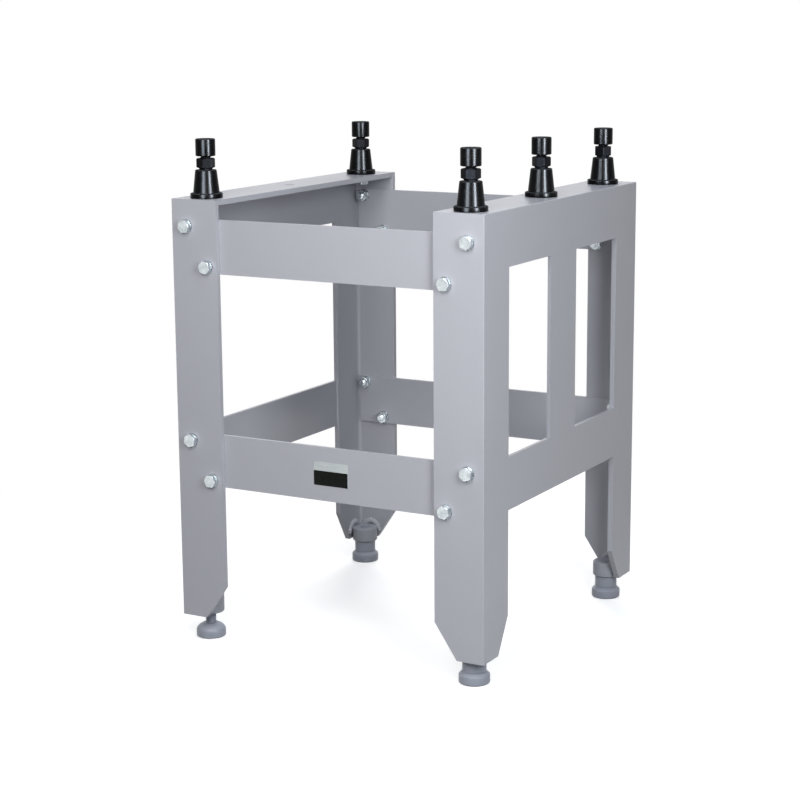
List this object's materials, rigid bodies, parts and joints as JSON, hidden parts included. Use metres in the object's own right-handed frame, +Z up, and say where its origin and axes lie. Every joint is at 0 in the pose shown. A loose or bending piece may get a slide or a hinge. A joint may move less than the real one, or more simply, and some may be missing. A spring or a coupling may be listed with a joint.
{
  "type": "surface plate stand",
  "caption": "Welded and bolted angle-steel stand with screw jacks on top that level a granite surface plate, and levelling feet.",
  "frame": {"origin": "on the floor under the middle of the stand", "axes": "+X to the right along the front, +Y to the back, +Z up"},
  "size_m": [0.5, 0.5328, 0.739],
  "materials": {
    "frame_paint": "light grey enamel with a fine orange peel",
    "foot_paint": "mid grey enamel",
    "jack_black": "gloss black",
    "lock_nut_black": "black oxide, dull",
    "dark_screw": "black oxide, oiled",
    "zinc_fasteners": "bright zinc plate",
    "name_foil": "foil, black with a bare silver band"
  },
  "bodies": {
    "frame": {"left_front_leg": "frame_paint", "left_rear_leg": "frame_paint", "right_front_leg": "frame_paint", "right_rear_leg": "frame_paint", "left_top_angle": "frame_paint", "right_top_angle": "frame_paint", "left_lower_rail": "frame_paint", "right_lower_rail": "frame_paint", "right_middle_post": "frame_paint", "front_upper_rail": "frame_paint", "front_lower_rail": "frame_paint", "rear_upper_rail": "frame_paint", "rear_lower_rail": "frame_paint", "rail_bolts": "zinc_fasteners", "bolt_washers": "zinc_fasteners", "nut_washers": "zinc_fasteners", "rail_nuts": "zinc_fasteners", "name_plate": "name_foil", "left_front_boss": "frame_paint", "left_rear_boss": "frame_paint", "right_front_boss": "frame_paint", "right_rear_boss": "frame_paint", "left_front_jack_base": "jack_black", "left_rear_jack_base": "jack_black", "right_front_jack_base": "jack_black", "right_middle_jack_base": "jack_black", "right_rear_jack_base": "jack_black", "jack_bolts": "zinc_fasteners"},
    "left_front_jack_cap": {"left_front_jack_cap": "jack_black"},
    "left_front_jack_screw": {"left_front_jack_screw": "dark_screw"},
    "left_front_jack_nut": {"left_front_jack_nut": "lock_nut_black"},
    "left_rear_jack_cap": {"left_rear_jack_cap": "jack_black"},
    "left_rear_jack_screw": {"left_rear_jack_screw": "dark_screw"},
    "left_rear_jack_nut": {"left_rear_jack_nut": "lock_nut_black"},
    "right_front_jack_cap": {"right_front_jack_cap": "jack_black"},
    "right_front_jack_screw": {"right_front_jack_screw": "dark_screw"},
    "right_front_jack_nut": {"right_front_jack_nut": "lock_nut_black"},
    "right_middle_jack_cap": {"right_middle_jack_cap": "jack_black"},
    "right_middle_jack_screw": {"right_middle_jack_screw": "dark_screw"},
    "right_middle_jack_nut": {"right_middle_jack_nut": "lock_nut_black"},
    "right_rear_jack_cap": {"right_rear_jack_cap": "jack_black"},
    "right_rear_jack_screw": {"right_rear_jack_screw": "dark_screw"},
    "right_rear_jack_nut": {"right_rear_jack_nut": "lock_nut_black"},
    "left_front_foot_pad": {"left_front_foot_pad": "foot_paint"},
    "left_front_foot_screw": {"left_front_foot_screw": "foot_paint"},
    "left_rear_foot_pad": {"left_rear_foot_pad": "foot_paint"},
    "left_rear_foot_screw": {"left_rear_foot_screw": "foot_paint"},
    "right_front_foot_pad": {"right_front_foot_pad": "foot_paint"},
    "right_front_foot_screw": {"right_front_foot_screw": "foot_paint"},
    "right_rear_foot_pad": {"right_rear_foot_pad": "foot_paint"},
    "right_rear_foot_screw": {"right_rear_foot_screw": "foot_paint"}
  },
  "joints": [
    {"name": "left_front_jack_lift", "type": "slide", "parent": "frame", "child": "left_front_jack_cap", "axis": [0, 0, 1], "range_m": [0, 0.012]},
    {"name": "left_front_jack_turn", "type": "hinge", "parent": "left_front_jack_cap", "child": "left_front_jack_screw", "pos_m": [-0.2095, -0.228, 0.7], "axis": [0, 0, 1], "range_deg": [0, 2160]},
    {"name": "left_front_nut_turn", "type": "hinge", "parent": "frame", "child": "left_front_jack_nut", "pos_m": [-0.2095, -0.228, 0.7], "axis": [0, 0, 1], "range_deg": [0, 90]},
    {"name": "left_rear_jack_lift", "type": "slide", "parent": "frame", "child": "left_rear_jack_cap", "axis": [0, 0, 1], "range_m": [0, 0.012]},
    {"name": "left_rear_jack_turn", "type": "hinge", "parent": "left_rear_jack_cap", "child": "left_rear_jack_screw", "pos_m": [-0.2095, 0.209, 0.7], "axis": [0, 0, 1], "range_deg": [0, 2160]},
    {"name": "left_rear_nut_turn", "type": "hinge", "parent": "frame", "child": "left_rear_jack_nut", "pos_m": [-0.2095, 0.209, 0.7], "axis": [0, 0, 1], "range_deg": [0, 90]},
    {"name": "right_front_jack_lift", "type": "slide", "parent": "frame", "child": "right_front_jack_cap", "axis": [0, 0, 1], "range_m": [0, 0.012]},
    {"name": "right_front_jack_turn", "type": "hinge", "parent": "right_front_jack_cap", "child": "right_front_jack_screw", "pos_m": [0.215, -0.228, 0.7], "axis": [0, 0, 1], "range_deg": [0, 2160]},
    {"name": "right_front_nut_turn", "type": "hinge", "parent": "frame", "child": "right_front_jack_nut", "pos_m": [0.215, -0.228, 0.7], "axis": [0, 0, 1], "range_deg": [0, 90]},
    {"name": "right_middle_jack_lift", "type": "slide", "parent": "frame", "child": "right_middle_jack_cap", "axis": [0, 0, 1], "range_m": [0, 0.012]},
    {"name": "right_middle_jack_turn", "type": "hinge", "parent": "right_middle_jack_cap", "child": "right_middle_jack_screw", "pos_m": [0.215, -0.0095, 0.7], "axis": [0, 0, 1], "range_deg": [0, 2160]},
    {"name": "right_middle_nut_turn", "type": "hinge", "parent": "frame", "child": "right_middle_jack_nut", "pos_m": [0.215, -0.0095, 0.7], "axis": [0, 0, 1], "range_deg": [0, 90]},
    {"name": "right_rear_jack_lift", "type": "slide", "parent": "frame", "child": "right_rear_jack_cap", "axis": [0, 0, 1], "range_m": [0, 0.012]},
    {"name": "right_rear_jack_turn", "type": "hinge", "parent": "right_rear_jack_cap", "child": "right_rear_jack_screw", "pos_m": [0.215, 0.209, 0.7], "axis": [0, 0, 1], "range_deg": [0, 2160]},
    {"name": "right_rear_nut_turn", "type": "hinge", "parent": "frame", "child": "right_rear_jack_nut", "pos_m": [0.215, 0.209, 0.7], "axis": [0, 0, 1], "range_deg": [0, 90]},
    {"name": "left_front_foot_lift", "type": "slide", "parent": "frame", "child": "left_front_foot_pad", "axis": [0, 0, 1], "range_m": [-0.012, 0.012]},
    {"name": "left_front_foot_turn", "type": "hinge", "parent": "left_front_foot_pad", "child": "left_front_foot_screw", "pos_m": [-0.221, -0.229, 0.03], "axis": [0, 0, 1], "range_deg": [-2160, 2160]},
    {"name": "left_rear_foot_lift", "type": "slide", "parent": "frame", "child": "left_rear_foot_pad", "axis": [0, 0, 1], "range_m": [-0.015, 0]},
    {"name": "left_rear_foot_turn", "type": "hinge", "parent": "left_rear_foot_pad", "child": "left_rear_foot_screw", "pos_m": [-0.221, 0.229, 0.03], "axis": [0, 0, 1], "range_deg": [-2700, 0]},
    {"name": "right_front_foot_lift", "type": "slide", "parent": "frame", "child": "right_front_foot_pad", "axis": [0, 0, 1], "range_m": [-0.015, 0]},
    {"name": "right_front_foot_turn", "type": "hinge", "parent": "right_front_foot_pad", "child": "right_front_foot_screw", "pos_m": [0.221, -0.229, 0.03], "axis": [0, 0, 1], "range_deg": [-2700, 0]},
    {"name": "right_rear_foot_lift", "type": "slide", "parent": "frame", "child": "right_rear_foot_pad", "axis": [0, 0, 1], "range_m": [-0.015, 0]},
    {"name": "right_rear_foot_turn", "type": "hinge", "parent": "right_rear_foot_pad", "child": "right_rear_foot_screw", "pos_m": [0.221, 0.229, 0.03], "axis": [0, 0, 1], "range_deg": [-2700, 0]}
  ],
  "couplings": [
    {"joint": "left_front_jack_turn", "follows": "left_front_jack_lift", "rad_per_m": 3141.6},
    {"joint": "left_rear_jack_turn", "follows": "left_rear_jack_lift", "rad_per_m": 3141.6},
    {"joint": "right_front_jack_turn", "follows": "right_front_jack_lift", "rad_per_m": 3141.6},
    {"joint": "right_middle_jack_turn", "follows": "right_middle_jack_lift", "rad_per_m": 3141.6},
    {"joint": "right_rear_jack_turn", "follows": "right_rear_jack_lift", "rad_per_m": 3141.6},
    {"joint": "left_front_foot_turn", "follows": "left_front_foot_lift", "rad_per_m": 3141.6},
    {"joint": "left_rear_foot_turn", "follows": "left_rear_foot_lift", "rad_per_m": 3141.6},
    {"joint": "right_front_foot_turn", "follows": "right_front_foot_lift", "rad_per_m": 3141.6},
    {"joint": "right_rear_foot_turn", "follows": "right_rear_foot_lift", "rad_per_m": 3141.6}
  ]
}
